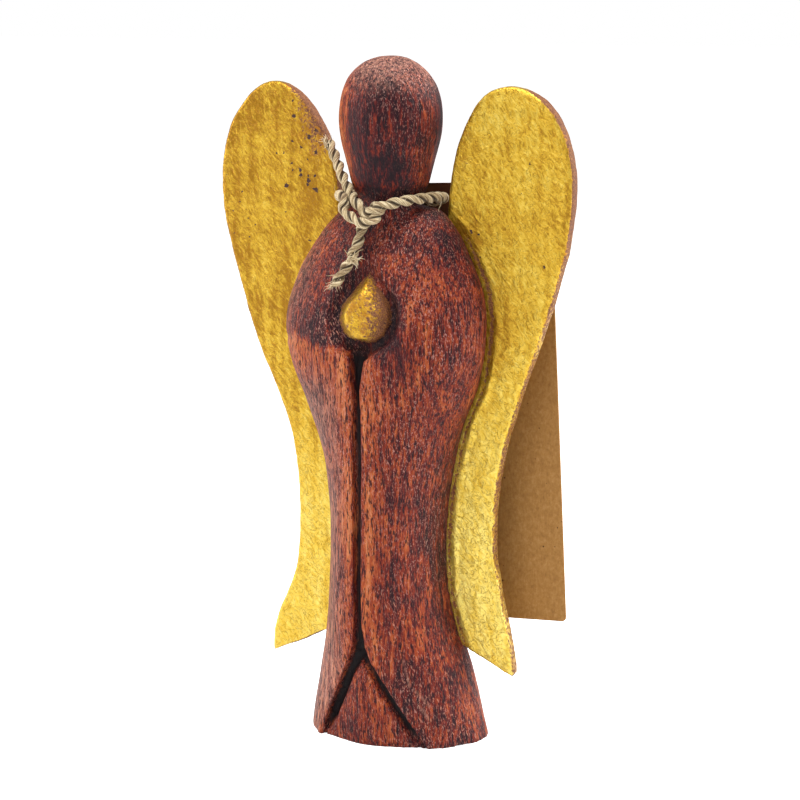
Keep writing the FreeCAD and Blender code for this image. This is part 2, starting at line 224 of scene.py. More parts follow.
def remeshed(node, voxel, name):
    """An even mesh of a CAD node's shape, as a new object."""
    mesh = frame["nodes"][node].data.copy()
    mesh.materials.clear()
    shape = bmesh.new()
    shape.from_mesh(mesh)
    bmesh.ops.remove_doubles(shape, verts=shape.verts, dist=0.005 * MM)
    shape.to_mesh(mesh)
    shape.free()
    source = placed(name + "_source", mesh)
    remesh = source.modifiers.new("even", "REMESH")
    remesh.mode, remesh.voxel_size = "VOXEL", voxel * MM
    bpy.context.view_layer.update()
    result = source.evaluated_get(bpy.context.evaluated_depsgraph_get())
    even = bpy.data.meshes.new_from_object(result)
    bpy.data.objects.remove(source)
    for attribute in [a for a in even.attributes if a.domain == "POINT" and a.name != "position"]:
        even.attributes.remove(attribute)
    even.materials.clear()
    even.shade_smooth()
    return placed(name, even)


# ---- Camera, light and floor --------------------------------------------------------------------
def add_camera():
    azimuth, pitch = math.radians(VIEW_AZIMUTH), math.radians(VIEW_PITCH)
    level = math.cos(pitch)
    away = Vector((math.sin(azimuth) * level, -math.cos(azimuth) * level, math.sin(pitch)))
    data = bpy.data.cameras.new("camera")
    data.lens, data.sensor_width = LENS, SENSOR
    data.clip_start, data.clip_end = 0.01, 50.0
    camera = placed("camera", data)
    camera.location = (Vector(VIEW_TARGET) + away * VIEW_DISTANCE) * MM
    camera.rotation_euler = (-away).to_track_quat("-Z", "Y").to_euler()
    bpy.context.scene.camera = camera


def add_softbox(name, azimuth, height, distance, size, power):
    """An area light, turned to face the middle of the figure."""
    data = bpy.data.lights.new(name, "AREA")
    data.shape = "RECTANGLE"
    data.size, data.size_y = size
    data.energy = power
    light = placed(name, data)
    turn = math.radians(azimuth)
    light.location = (distance * math.sin(turn), -distance * math.cos(turn), height)
    aim = Vector((0, 0, FIGURE_HEIGHT / 2 * MM)) - light.location
    light.rotation_euler = aim.to_track_quat("-Z", "Y").to_euler()


def add_world():
    """Pale surroundings: dim grey as a light, white where it is the background."""
    world = bpy.data.worlds.new("studio")
    bpy.context.scene.world = world
    world.use_nodes = True
    tree = world.node_tree
    seen = tree.nodes["Background"]
    seen.inputs["Color"].default_value = (1.0, 1.0, 1.0, 1.0)
    dim = tree.nodes.new("ShaderNodeBackground")
    dim.inputs["Color"].default_value = (1.0, 1.0, 1.0, 1.0)
    dim.inputs["Strength"].default_value = WORLD_LIGHT
    path = tree.nodes.new("ShaderNodeLightPath")
    mix = tree.nodes.new("ShaderNodeMixShader")
    tree.links.new(path.outputs["Is Camera Ray"], mix.inputs[0])
    tree.links.new(dim.outputs[0], mix.inputs[1])
    tree.links.new(seen.outputs[0], mix.inputs[2])
    tree.links.new(mix.outputs[0], tree.nodes["World Output"].inputs["Surface"])


def floor_white():
    """White paper. It shows as clean white, but throws back no more light than paper does."""
    material = bpy.data.materials.new("floor_white")
    material.use_nodes = True
    tree = material.node_tree
    paper = tree.nodes["Principled BSDF"]
    paper.inputs["Base Color"].default_value = (FLOOR_GREY, FLOOR_GREY, FLOOR_GREY, 1.0)
    paper.inputs["Roughness"].default_value = 0.6
    paper.inputs["Specular IOR Level"].default_value = 0.0
    glow = tree.nodes.new("ShaderNodeEmission")
    path = tree.nodes.new("ShaderNodeLightPath")
    share = tree.nodes.new("ShaderNodeMath")
    share.operation = "MULTIPLY"
    share.inputs[1].default_value = FLOOR_GLOW
    both = tree.nodes.new("ShaderNodeAddShader")
    tree.links.new(path.outputs["Is Camera Ray"], share.inputs[0])
    tree.links.new(share.outputs[0], glow.inputs["Strength"])
    tree.links.new(paper.outputs[0], both.inputs[0])
    tree.links.new(glow.outputs[0], both.inputs[1])
    tree.links.new(both.outputs[0], tree.nodes["Material Output"].inputs["Surface"])
    return material


def add_studio():
    add_world()
    bpy.context.scene.view_settings.view_transform = "Standard"
    for softbox in SOFTBOXES:
        add_softbox(*softbox)
    half = FLOOR_HALF * MM
    corners = [(-half, -half, 0), (half, -half, 0), (half, half, 0), (-half, half, 0)]
    floor = new_piece("floor", corners, [(0, 1, 2, 3)])
    floor.data.materials.append(floor_white())


# ---- Materials ----------------------------------------------------------------------------------
class Recipe:
    """A material's node tree, built one step at a time. Steps return the socket they end in."""

    def __init__(self, name, **shader_values):
        self.material = bpy.data.materials.new(name)
        self.material.use_nodes = True
        self.tree = self.material.node_tree
        self.shader = self.tree.nodes["Principled BSDF"]
        for socket, value in shader_values.items():
            self.shader.inputs[socket.replace("_", " ")].default_value = value
        self.place = self.node("ShaderNodeTexCoord").outputs["Object"]

    def node(self, kind, inputs=(), **settings):
        """A new node. An input is either another node's socket or a plain value."""
        new = self.tree.nodes.new(kind)
        for key, value in settings.items():
            setattr(new, key, value)
        for key, value in dict(inputs).items():
            if isinstance(value, bpy.types.NodeSocket):
                self.tree.links.new(value, new.inputs[key])
            else:
                new.inputs[key].default_value = value
        return new

    def painted(self, name):
        """What paint stored on the mesh under this name."""
        return self.node("ShaderNodeAttribute", attribute_name=name).outputs["Fac"]

    def stretched(self, shares, place=None):
        """The place, with each axis scaled: a small share makes features long that way."""
        inputs = {"Vector": place or self.place, "Scale": shares}
        return self.node("ShaderNodeMapping", inputs).outputs["Vector"]

    def tilted(self, angle):
        """The place, turned about the front-to-back axis."""
        inputs = {"Vector": self.place, "Rotation": (0.0, angle, 0.0)}
        return self.node("ShaderNodeMapping", inputs).outputs["Vector"]

    def noise(self, size, place=None, detail=2.0, rough=0.5, distortion=0.0):
        """Noise with features of about this size in millimetres."""
        inputs = {"Vector": place or self.place, "Scale": 1 / (size * MM), "Detail": detail,
                  "Roughness": rough, "Distortion": distortion}
        return self.node("ShaderNodeTexNoise", inputs).outputs["Fac"]

    def warped(self, amount, size, place=None):
        """The place, pushed about by slow noise, so that straight grain wanders."""
        place = place or self.place
        inputs = {"Vector": place, "Scale": 1 / (size * MM), "Detail": 2.0}
        drift = self.node("ShaderNodeTexNoise", inputs).outputs["Color"]
        centred = self.node("ShaderNodeVectorMath", {0: drift, 1: (0.5, 0.5, 0.5)}, operation="SUBTRACT")
        inputs = {0: centred.outputs[0], "Scale": 2 * amount * MM}
        scaled = self.node("ShaderNodeVectorMath", inputs, operation="SCALE")
        moved = self.node("ShaderNodeVectorMath", {0: place, 1: scaled.outputs[0]}, operation="ADD")
        return moved.outputs["Vector"]

    def math(self, operation, a, b=0.0, c=0.0):
        return self.node("ShaderNodeMath", {0: a, 1: b, 2: c}, operation=operation).outputs[0]

    def weighted(self, *pairs):
        """The sum of sockets times numbers."""
        total = 0.0
        for socket, weight in pairs:
            total = self.math("MULTIPLY_ADD", socket, weight, total)
        return total

    def ranged(self, value, low, high, to_low=0.0, to_high=1.0):
        """A smooth change from to_low to to_high as the value goes from low to high."""
        inputs = {"Value": value, "From Min": low, "From Max": high, "To Min": to_low, "To Max": to_high}
        return self.node("ShaderNodeMapRange", inputs, interpolation_type="SMOOTHSTEP").outputs["Result"]

    def ramp(self, value, stops):
        """A colour for each value, from stops of a position and a colour."""
        new = self.node("ShaderNodeValToRGB", {"Fac": value})
        while len(new.color_ramp.elements) < len(stops):
            new.color_ramp.elements.new(0.5)
        for element, (position, colour) in zip(new.color_ramp.elements, stops):
            element.position, element.color = position, (*colour, 1.0)
        return new.outputs["Color"]

    def mixed(self, share, a, b):
        """Colour a where the share is 0 and colour b where it is 1. The node's colours are 6 and 7."""
        new = self.node("ShaderNodeMix", {"Factor": share}, data_type="RGBA")
        for socket, value in ((new.inputs[6], a), (new.inputs[7], b)):
            if isinstance(value, bpy.types.NodeSocket):
                self.tree.links.new(value, socket)
            else:
                socket.default_value = (*value, 1.0)
        return new.outputs[2]

    def bump(self, height, depth):
        """Depth in millimetres is the relief that a change of 1 in height stands for."""
        inputs = {"Height": height, "Distance": depth * MM, "Strength": 1.0}
        return self.node("ShaderNodeBump", inputs).outputs["Normal"]

    def finish(self, **links):
        """Joins the last sockets to the shader and hands the material over."""
        for socket, value in links.items():
            self.tree.links.new(value, self.shader.inputs[socket.replace("_", " ")])
        return self.material


def stained_wood():
    """Upright grain, orange-red where the stain is thin and purple-brown where it is thick, with painted
    shade, painted sheen and painted highlights from the marks on the mesh.
    """
    r = Recipe("stained_wood", Specular_IOR_Level=0.16)
    wandering = r.warped(1.2, 22.0)
    streaks = r.noise(1.05, r.stretched((1.0, 1.0, 0.15), wandering), 4.0, 0.64)
    fine = r.noise(0.5, r.stretched((1.0, 1.0, 0.16), wandering), 2.0, 0.6)
    blotches = r.noise(8.0, r.stretched((1.0, 1.0, 0.5)), 4.0, 0.65)
    long_lines = r.noise(1.2, r.stretched((1.0, 1.0, 0.05), wandering), 3.0, 0.6)
    # The painted tone holds the stain's tone and painted shade.
    tone = r.weighted(
        (streaks, 0.74), (long_lines, 0.50), (fine, 0.42), (blotches, 0.58), (r.painted("tone"), 0.30),
    )
    tone = r.math("SUBTRACT", tone, 0.62)
    colour = r.ramp(tone, (
        (0.24, (0.012, 0.005, 0.008)),
        (0.38, (0.038, 0.006, 0.009)),
        (0.48, (0.110, 0.013, 0.011)),
        (0.58, (0.225, 0.028, 0.011)),
        (0.70, (0.390, 0.080, 0.022)),
        (0.86, (0.520, 0.160, 0.055)),
    ))
    flecks = r.noise(0.36, r.stretched((1.0, 1.0, 0.4), wandering), 2.0, 0.7)
    # Painted highlight: a pale pinkish colour down the lit left side and on the crown, and on the knife
    # slips, which are pale in fact.
    pale = r.mixed(r.ranged(streaks, 0.40, 0.62), (0.20, 0.075, 0.060), (0.62, 0.30, 0.20))
    colour = r.mixed(r.math("MULTIPLY", r.painted("sheen_and_slips"), 0.85), colour, pale)
    # Pinkish flecks: pale wax in the grain, and painted sheen where the light catches the wood.
    shown = r.math("MULTIPLY", r.ranged(flecks, 0.56, 0.63), r.painted("wax_and_sheen"))
    colour = r.mixed(shown, colour, (0.62, 0.31, 0.25))
    fibres = r.noise(0.42, r.stretched((1.0, 1.0, 0.22), r.tilted(0.42)), 2.0, 0.6)
    shown = r.math("MULTIPLY", r.ranged(fibres, 0.60, 0.68), r.painted("scuffed"))
    colour = r.mixed(shown, colour, (0.50, 0.21, 0.14))
    pores = r.noise(0.5, r.stretched((1.0, 1.0, 0.2), wandering), 2.0, 0.6)
    colour = r.mixed(r.ranged(pores, 0.48, 0.39, 0.0, 0.88), colour, (0.012, 0.004, 0.007))
    colour = r.mixed(r.painted("cavity"), colour, (0.008, 0.005, 0.006))
    relief = r.weighted((fine, 0.7), (pores, 0.6), (streaks, 0.7))
    rough = r.ranged(r.weighted((fine, 0.6), (flecks, 0.4)), 0.3, 0.7, 0.38, 0.60)
    return r.finish(Base_Color=colour, Roughness=rough, Normal=r.bump(relief, 0.30))


def leaf_colour(r, drift, crinkle, grit, line):
    """The leaf's gold, with painted light and shade in its tone, dark lines in its wrinkles and a brown
    tint where it is rubbed.
    """
    patches = r.noise(16.0, None, 3.0, 0.55)
    bands = r.noise(3.4, r.stretched((1.0, 1.0, 0.10), drift), 3.0, 0.6)
    # The pale mark is painted light: lighter low on the wings and at the drop's bottom, darker on each wing
    # by its painted shade.
    shade = r.weighted(
        (crinkle, 0.60), (grit, 0.30), (patches, 0.40), (bands, 0.50), (r.painted("pale"), 0.25),
    )
    colour = r.ramp(r.math("SUBTRACT", shade, 0.25), (
        (0.38, (0.40, 0.19, 0.012)),
        (0.56, (0.70, 0.42, 0.036)),
        (0.70, (0.82, 0.56, 0.075)),
        (0.95, (0.92, 0.73, 0.18)),
    ))
    colour = r.mixed(r.math("MULTIPLY", line, 0.55), colour, (0.25, 0.11, 0.012))
    rubbed = r.weighted((r.painted("worn"), 1.0), (r.noise(3.0, drift, 3.0, 0.6), 0.8))
    return r.mixed(r.ranged(rubbed, 0.66, 0.98, 0.0, 0.75), colour, (0.42, 0.16, 0.020))


def dark_spots(r):
    """1 inside small ragged spots, which are largest where specks are painted."""
    cell = r.node("ShaderNodeTexVoronoi", {"Vector": r.warped(0.7, 0.9), "Scale": 1 / (2.5 * MM)})
    chosen = r.node("ShaderNodeSeparateColor", {"Color": cell.outputs["Color"]}).outputs[0]
    chosen = r.math("MULTIPLY", chosen, chosen)
    near = r.math("MULTIPLY", r.painted("specks"), chosen)
    return r.math("GREATER_THAN", near, cell.outputs["Distance"])


def gold_leaf():
    """Crinkled metal leaf, worn through to brown in places."""
    r = Recipe("gold_leaf")
    drift = r.warped(1.6, 6.0)
    slanted = r.stretched((1.0, 1.0, 0.30), r.warped(2.0, 8.0, r.tilted(0.69)))
    crinkle = r.noise(0.75, slanted, 2.0, 0.55, 0.5)
    grit = r.noise(0.42, drift, 2.0, 0.7)
    wrinkle = r.math("ABSOLUTE", r.math("SUBTRACT", r.noise(2.4, drift, 3.0, 0.6, 1.2), 0.5))
    line = r.ranged(wrinkle, 0.026, 0.0)
    speck = r.noise(0.9, drift, 3.0, 0.65)
    worn = r.weighted((r.painted("worn"), 1.0), (speck, 0.9), (crinkle, 0.35))
    bare = r.ranged(worn, 0.98, 1.12)
    under = r.ramp(r.weighted((grit, 0.8), (speck, 0.2)), (
        (0.30, (0.040, 0.011, 0.006)),
        (0.48, (0.160, 0.044, 0.012)),
        (0.68, (0.380, 0.160, 0.035)),
    ))
    colour = r.mixed(bare, leaf_colour(r, drift, crinkle, grit, line), under)
    spot = dark_spots(r)
    colour = r.mixed(spot, colour, (0.045, 0.012, 0.006))
    bare = r.math("MAXIMUM", bare, spot)
    metal = r.ranged(bare, 0.0, 1.0, 0.82, 0.0)
    rough = r.ranged(bare, 0.0, 1.0, 0.30, 0.65)
    relief = r.weighted((crinkle, 1.0), (grit, 0.22), (bare, -0.3), (line, -0.25))
    return r.finish(Base_Color=colour, Metallic=metal, Roughness=rough, Normal=r.bump(relief, 0.22))


def dry_rope():
    """Dry plant fibre: pale and brown stripes along each strand, and painted shade in the crevices between
    the strands.
    """
    r = Recipe("dry_rope", Specular_IOR_Level=0.25, Sheen_Weight=0.15, Sheen_Roughness=0.5)
    stripe, deep = r.painted("stripe"), r.painted("deep")
    grit = r.noise(0.35, None, 3.0, 0.7)
    colour = r.ramp(r.weighted((stripe, 0.75), (grit, 0.45)), (
        (0.20, (0.090, 0.050, 0.022)),
        (0.42, (0.290, 0.195, 0.100)),
        (0.62, (0.560, 0.430, 0.240)),
        (0.85, (0.820, 0.700, 0.470)),
    ))
    # Painted shade in the crevices between the strands.
    colour = r.mixed(deep, colour, (0.060, 0.036, 0.018))
    relief = r.weighted((stripe, 0.8), (grit, 0.5))
    rough = r.ranged(grit, 0.3, 0.7, 0.65, 0.85)
    return r.finish(Base_Color=colour, Roughness=rough, Normal=r.bump(relief, 0.12))


def kraft_card():
    """Plain brown card with fine pulp flecks, and a painted shadow: a darker band at its top, where the
    head and the right wing shade it.
    """
    r = Recipe("kraft_card", Specular_IOR_Level=0.25)
    pulp = r.noise(1.4, r.warped(0.8, 5.0), 5.0, 0.7)
    fibre = r.noise(0.5, r.stretched((1.0, 1.0, 0.35)), 3.0, 0.7)
    colour = r.ramp(r.weighted((pulp, 0.6), (fibre, 0.4)), (
        (0.30, (0.230, 0.108, 0.028)),
        (0.50, (0.345, 0.170, 0.046)),
        (0.72, (0.450, 0.245, 0.085)),
    ))
    cell = r.node("ShaderNodeTexVoronoi", {"Vector": r.place, "Scale": 1 / (2.3 * MM)})
    speck = r.ranged(cell.outputs["Distance"], 0.16, 0.08)
    gate = r.ranged(r.noise(3.0, None, 2.0, 0.5), 0.56, 0.62)
    colour = r.mixed(r.math("MULTIPLY", speck, gate), colour, (0.10, 0.045, 0.015))
    # Painted shadow: the band along the card's top is made darker, for the shade behind the head and the
    # right wing.
    band = r.ranged(r.painted("below_top"), CARD_SHADE_BAND + 0.5, CARD_SHADE_BAND - 0.5, 0.0, 0.92)
    colour = r.mixed(band, colour, (0.055, 0.016, 0.008))
    rough = r.ranged(fibre, 0.3, 0.7, 0.75, 0.92)
    return r.finish(Base_Color=colour, Roughness=rough, Normal=r.bump(fibre, 0.05))


def dowel_wood():
    """Pale end grain with growth rings."""
    r = Recipe("dowel_wood", Specular_IOR_Level=0.3)
    inputs = {"Vector": r.stretched((1.0, 0.1, 1.0)), "Scale": 900.0, "Distortion": 3.0}
    rings = r.node("ShaderNodeTexWave", inputs)
    colour = r.ramp(rings.outputs["Fac"], ((0.2, (0.28, 0.15, 0.06)), (0.8, (0.46, 0.29, 0.14))))
    pores = r.noise(0.3, None, 2.0, 0.6)
    colour = r.mixed(r.ranged(pores, 0.45, 0.35), colour, (0.12, 0.055, 0.022))
    rough = r.ranged(pores, 0.3, 0.7, 0.6, 0.8)
    return r.finish(Base_Color=colour, Roughness=rough, Normal=r.bump(pores, 0.1))


# ---- Carved body --------------------------------------------------------------------------------
def drop_distance(x, z):
    """Distance outside the drop's outline, seen from the front; negative inside."""
    radius = DROP_WIDTH / 2
    centre_z = DROP_BOTTOM_Z + radius
    across, up = np.abs(x - DROP_X), z - centre_z
    sine = radius / (DROP_TIP_Z - centre_z)
    cosine = math.sqrt(1 - sine * sine)
    beside_line = up * cosine > across * sine
    return np.where(beside_line, across * cosine + up * sine - radius, np.hypot(across, up) - radius)


def hem_edges(z):
    """Where the parted hem's left and right edges stand at a height."""
    share = np.clip((HEM_Z - z) / HEM_Z, 0.0, 1.0)
    return GROOVE_X + (HEM_LEFT_X - GROOVE_X) * share, GROOVE_X + (HEM_RIGHT_X - GROOVE_X) * share


def soften_body(co, edges):
    """Rounds what a knife and sandpaper round: the drop's hollow, the neck, and every edge a little."""
    x, y, z = co.T
    front = y < -6.0
    near_drop = front & (np.abs(drop_distance(x, z)) < 4.0)
    left_of_drop = near_drop & (x < DROP_X - 2.5) & (z > DROP_BOTTOM_Z + 2.0)
    co = relaxed(co, edges, np.where(near_drop, 0.9, 0.0), 50)
    co = relaxed(co, edges, np.where(left_of_drop, 0.9, 0.0), 60)
    neck = smooth_step(NECK_Z[0], NECK_Z[0] + 4, z) * smooth_step(NECK_Z[1] + 5, NECK_Z[1], z)
    co = relaxed(co, edges, 0.8 * neck, 30)
    return relaxed(co, edges, np.full(len(co), 0.5), 2)


def carve_body(co):
    """How far each point of the body moves inwards, in millimetres."""
    x, y, z = co.T
    front = smooth_step(*FRONT_Y, y)
    away = drop_distance(x, z)
    low_right = smooth_step(-5.0, 5.0, (x - DROP_X) + 0.9 * (126.0 - z))
    valley = 1.0 * bump_of(away, 1.2, 1.2) + 0.8 * bump_of(away, 2.6, 3.4)
    inwards = front * (0.25 + 0.75 * low_right) * valley * smooth_step(-0.6, 0.4, away)
    inwards -= front * 2.2 * smooth_step(0.4, -4.0, away)
    funnel = 4.6 * smooth_step(102.0, 120.0, z) + 0.8
    beside = np.clip(1 - np.abs(x - GROOVE_X) / funnel, 0, 1)
    inwards += front * 1.8 * beside * smooth_step(99.0, 116.0, z) * (z < DROP_BOTTOM_Z + 1.5)
    left, right = hem_edges(z)
    across = (x - left) / np.maximum(right - left, 4.0)
    ridge = np.clip(1 - np.abs(across - 0.46) / 0.42, 0, 1)
    inwards -= front * 1.2 * ridge * smooth_step(HEM_Z - 4, HEM_Z - 14, z) * (z < HEM_Z)
    bulge = bump_of(x, 15.0, 12.0) * bump_of(z, 128.0, 13.0)
    bulge += 0.8 * bump_of(x, -16.0, 9.0) * bump_of(z, 127.0, 8.0)
    inwards -= front * 0.7 * bulge
    step = smooth_step(-3.0, -7.0, x) * smooth_step(2.0, 0.0, np.abs(z - SLEEVE_EDGE_Z + 1.5))
    inwards += front * 0.35 * step
    for edge_x, width in ((left, 1.9), (right, 1.4)):
        hem_line = bump_of(x, edge_x, width)
        inwards += front * 0.8 * hem_line * smooth_step(HEM_Z + 2, HEM_Z - 4, z) * smooth_step(3.0, 8.0, z)
        inwards -= front * 1.6 * hem_line * smooth_step(3.5, 0.5, z)
    inwards += front * 1.4 * np.clip(1 - np.hypot(x - GROOVE_X, (z - 28.5) * 0.6) / 4.5, 0, 1)
    inwards += 0.30 * cloud(co, (9.0, 9.0, 26.0), 3, 2)
    inwards += 0.10 * cloud(co, (2.4, 2.4, 11.0), 9, 2)
    inwards += 0.035 * lattice_noise(co, (0.9, 0.9, 6.0), 21)
    return inwards


def stain_and_shade_tone(co, front, away):
    """How orange or dark the wood is: above 0 is orange, below 0 is dark. Besides the stain's tone it holds
    painted shade: on the neck under the chin, in the valley round the drop, and where the robe meets the
    right wing.
    """
    x, y, z = co.T
    ragged = SLEEVE_EDGE_Z - 1.0 - 0.12 * (x + 16.0)
    ragged += 1.6 * lattice_noise(co, (0.9, 0.9, 7.0), 5) + 1.4 * lattice_noise(co, (3.0, 3.0, 9.0), 6)
    sleeve = smooth_step(-3.0, -6.0, x) * front
    below = smooth_step(1.8, -1.8, z - ragged)
    tone = 0.75 * sleeve * below * smooth_step(96.0, 116.0, z)
    tone -= 0.36 * sleeve * (1 - below) * smooth_step(146.0, 124.0, z)
    groove_side = bump_of(np.abs(x - GROOVE_X), 3.4, 2.4)
    groove_side = groove_side * smooth_step(26.0, 40.0, z) * smooth_step(122.0, 112.0, z)
    tone += 0.55 * front * groove_side
    # Painted shade where the robe's right side meets the wing.
    tone -= 0.45 * smooth_step(3.0, 0.0, np.abs(y + 1.0)) * smooth_step(0.0, 10.0, x)
    # Painted shade in the valley round the drop, most on its right and below it.
    right = smooth_step(-4.0, 3.0, x - DROP_X + 0.5 * (122.0 - z))
    tone -= front * (0.15 + 0.55 * right) * bump_of(away, 2.2, 2.8) * (away > 0)
    tone += 0.25 * bump_of(x, 4.0, 6.0) * bump_of(z, 135.0, 9.0) * front
    tone -= 0.35 * smooth_step(30.0, 8.0, z) * smooth_step(6.0, 14.0, x) * front
    # Painted shade on the neck, under the chin.
    tone -= 0.35 * smooth_step(150.0, 157.0, z) * (z < 163.0)
    on_head = smooth_step(*HEAD_Z, z)
    tone -= on_head * (0.26 * smooth_step(-12.0, -2.0, x) - 0.16 * smooth_step(6.0, 13.0, x))
    tone += on_head * 0.85 * smooth_step(-3.0, -11.0, x) + 0.12 * smooth_step(115.0, 100.0, z)
    return tone + 0.25 * cloud(co, (12.0, 12.0, 20.0), 31, 2)


def wax_and_sheen_share(co):
    """How much pale wax shows in the grain, with painted sheen: more down the left side, where the light
    catches it, and a painted highlight on the crown.
    """
    x, _, z = co.T
    wax_and_sheen = 0.35 + 0.35 * cloud(co, (10.0, 10.0, 16.0), 41, 2)
    # Painted sheen on the left side (here and low down) and a painted highlight on the crown; less on the
    # rest of the head.
    wax_and_sheen += 0.25 * smooth_step(-3.0, -8.0, x) * (z > SLEEVE_EDGE_Z) * (z < 150.0)
    wax_and_sheen -= 0.30 * smooth_step(*HEAD_Z, z) * smooth_step(190.0, 184.0, z)
    wax_and_sheen += 0.45 * smooth_step(188.0, 197.0, z)
    wax_and_sheen += 0.25 * smooth_step(-14.0, -20.0, x) * (z < 112.0)
    return np.clip(wax_and_sheen, 0.05, 1.0)


def sheen_and_slips_share(co, front):
    """How pale the wood is painted: a painted highlight down the left side, on the sleeve's rim and on the
    crown, and the pale knife slips.
    """
    x, y, z = co.T
    outside = smooth_step(-1.0, -4.0, x - hem_edges(z)[0])
    # Painted highlight down the left side below the sleeve, on the crown, and on the sleeve's rim below.
    sheen_and_slips = 0.75 * outside * smooth_step(-3.0, -11.0, x) * smooth_step(116.0, 98.0, z)
    sheen_and_slips = sheen_and_slips * smooth_step(9.0, -7.0, y + 3.0) + 0.75 * smooth_step(188.0, 198.0, z)
    sheen_and_slips += 0.55 * smooth_step(-22.0, -30.0, x) * smooth_step(106.0, 112.0, z)
    sheen_and_slips += 0.30 * smooth_step(-14.0, -24.0, x) * smooth_step(122.0, 132.0, z) * (z < 155.0)
    sheen_and_slips = sheen_and_slips * (0.8 + 0.3 * cloud(co, (6.0, 6.0, 18.0), 43, 2)) + 0.6 * front * scratched(x, z)
    return np.clip(sheen_and_slips, 0.0, 1.0)


def paint_body(mesh, co, cavity):
    """Stores all that the stained wood reads, in the order of BODY_PAINT."""
    x, y, z = co.T
    front = smooth_step(*FRONT_Y, y)
    away = drop_distance(x, z)
    scuffed = 0.35 + 0.5 * cloud(co, (12.0, 12.0, 16.0), 47, 2) + 0.5 * smooth_step(50.0, 20.0, z)
    hollow = 1 - 0.62 * (z > 114.0) * smooth_step(5.0, 3.0, away)
    shares = (
        stain_and_shade_tone(co, front, away), wax_and_sheen_share(co), sheen_and_slips_share(co, front),
        np.clip(scuffed, 0.0, 1.0), cavity * hollow,
    )
    for name, values in zip(BODY_PAINT, shares):
        paint(mesh, name, values)


def scratched(x, z):
    """1 on the few knife slips low on the robe's right side, which show pale."""
    mask = np.zeros(len(x))
    for x1, z1, x2, z2 in SLIPS:
        run, rise = x2 - x1, z2 - z1
        share = np.clip(((x - x1) * run + (z - z1) * rise) / (run ** 2 + rise ** 2), 0.0, 1.0)
        away = np.hypot(x - x1 - share * run, z - z1 - share * rise)
        mask = np.maximum(mask, bump_of(away, 0.0, 0.3))
    return mask


def cavity_of(co, edges):
    """How far each point lies behind the smoothed surface round it, which is most in narrow grooves."""
    level = relaxed(co, edges, np.full(len(co), 1.0), 60)
    behind = co[:, 1] - level[:, 1]
    return relaxed(np.repeat(behind[:, None], 3, 1), edges, np.full(len(co), 0.6), 2)[:, 0]


def robe_reach(co, side):
    """How far the robe stands out to one side where the wing meets it, at each of HEIGHTS."""
    near = (np.abs(co[:, 1] + 1.0) < 1.5) & (co[:, 2] < SHOULDER_Z)
    reach = np.zeros(len(HEIGHTS))
    np.maximum.at(reach, np.round(co[near, 2]).astype(int), side * co[near, 0])
    return reach


def add_body():
    piece = remeshed("carved_body", BODY_VOXEL, "carved_figure")
    mesh = piece.data
    edges = edges_of(mesh)
    co = soften_body(points_of(mesh), edges)
    set_points(mesh, co)
    co = co - normals_of(mesh) * carve_body(co)[:, None]
    co[:, 2] = np.clip(co[:, 2], 0.0, FIGURE_HEIGHT)
    set_points(mesh, co)
    front = smooth_step(*FRONT_Y, co[:, 1])
    cavity = front * smooth_step(0.35, 1.1, cavity_of(co, edges))
    paint_body(mesh, co, np.clip(cavity, 0, 1))
    mesh.materials.append(stained_wood())
    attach(piece, "figurine")
    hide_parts("carved_body")
    return piece


def add_drop_leaf(body, leaf):
    """The gilding on the drop: a thin skin over the body's own surface."""
    co, normals = points_of(body.data), normals_of(body.data)
    away = drop_distance(co[:, 0], co[:, 2])
    rim = 0.4 * lattice_noise(co, 1.3, 51) + 0.5
    inside = (away < rim) & (co[:, 1] < -14.0) & (normals[:, 1] < 0.0)
    skin = bmesh.new()
    skin.from_mesh(body.data)
    skin.verts.ensure_lookup_table()
    outside = [v for v, keep in zip(skin.verts, inside) if not keep]
    bmesh.ops.delete(skin, geom=outside, context="VERTS")
    mesh = bpy.data.meshes.new("drop_leaf")
    skin.to_mesh(mesh)
    skin.free()
    for attribute in BODY_PAINT:
        mesh.attributes.remove(mesh.attributes[attribute])
    piece = placed("drop_leaf", mesh)
    thicken(piece, LEAF_THICKNESS, 1.0)
    mesh.materials.clear()
    mesh.materials.append(leaf)
    kept = points_of(mesh)
    away = drop_distance(kept[:, 0], kept[:, 2])
    right = smooth_step(0.0, 6.5, kept[:, 0] - DROP_X)
    paint(mesh, "worn", 0.34 + 0.16 * smooth_step(-1.6, 0.4, away) + 0.16 * right)
    paint(mesh, "specks", np.full(len(kept), 0.16))
    # Painted light: the drop's leaf is darker all over, save its bottom, which is painted lighter.
    paint(mesh, "pale", 0.6 * smooth_step(124.0, 120.0, kept[:, 2]) - 0.5)
    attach(piece, "figurine")


# ---- Wings --------------------------------------------------------------------------------------
def wing_relief(co, normals, beside):
    """How far each point of a board moves outwards: wrinkled leaf, and a raised band beside the robe."""
    flat = np.abs(normals[:, 1])
    relief = 0.16 * cloud(co, (17.0, 17.0, 26.0), 61, 2)
    relief += 0.07 * np.abs(cloud(co, (2.6, 2.6, 4.5), 63, 2))
    relief += 0.05 * lattice_noise(co, (1.2, 1.2, 1.8), 67)
    relief += 0.30 * (1 - flat) * cloud(co, (7.0, 7.0, 7.0), 69, 2)
    ridge = bump_of(beside, 2.2 + 0.5 * lattice_noise(co, 9.0, 75), 0.9)
    uneven = 0.7 + 0.4 * lattice_noise(co, 5.0, 77)
    return relief + 0.40 * ridge * (normals[:, 1] < -0.5) * (co[:, 2] < SHOULDER_Z) * uneven


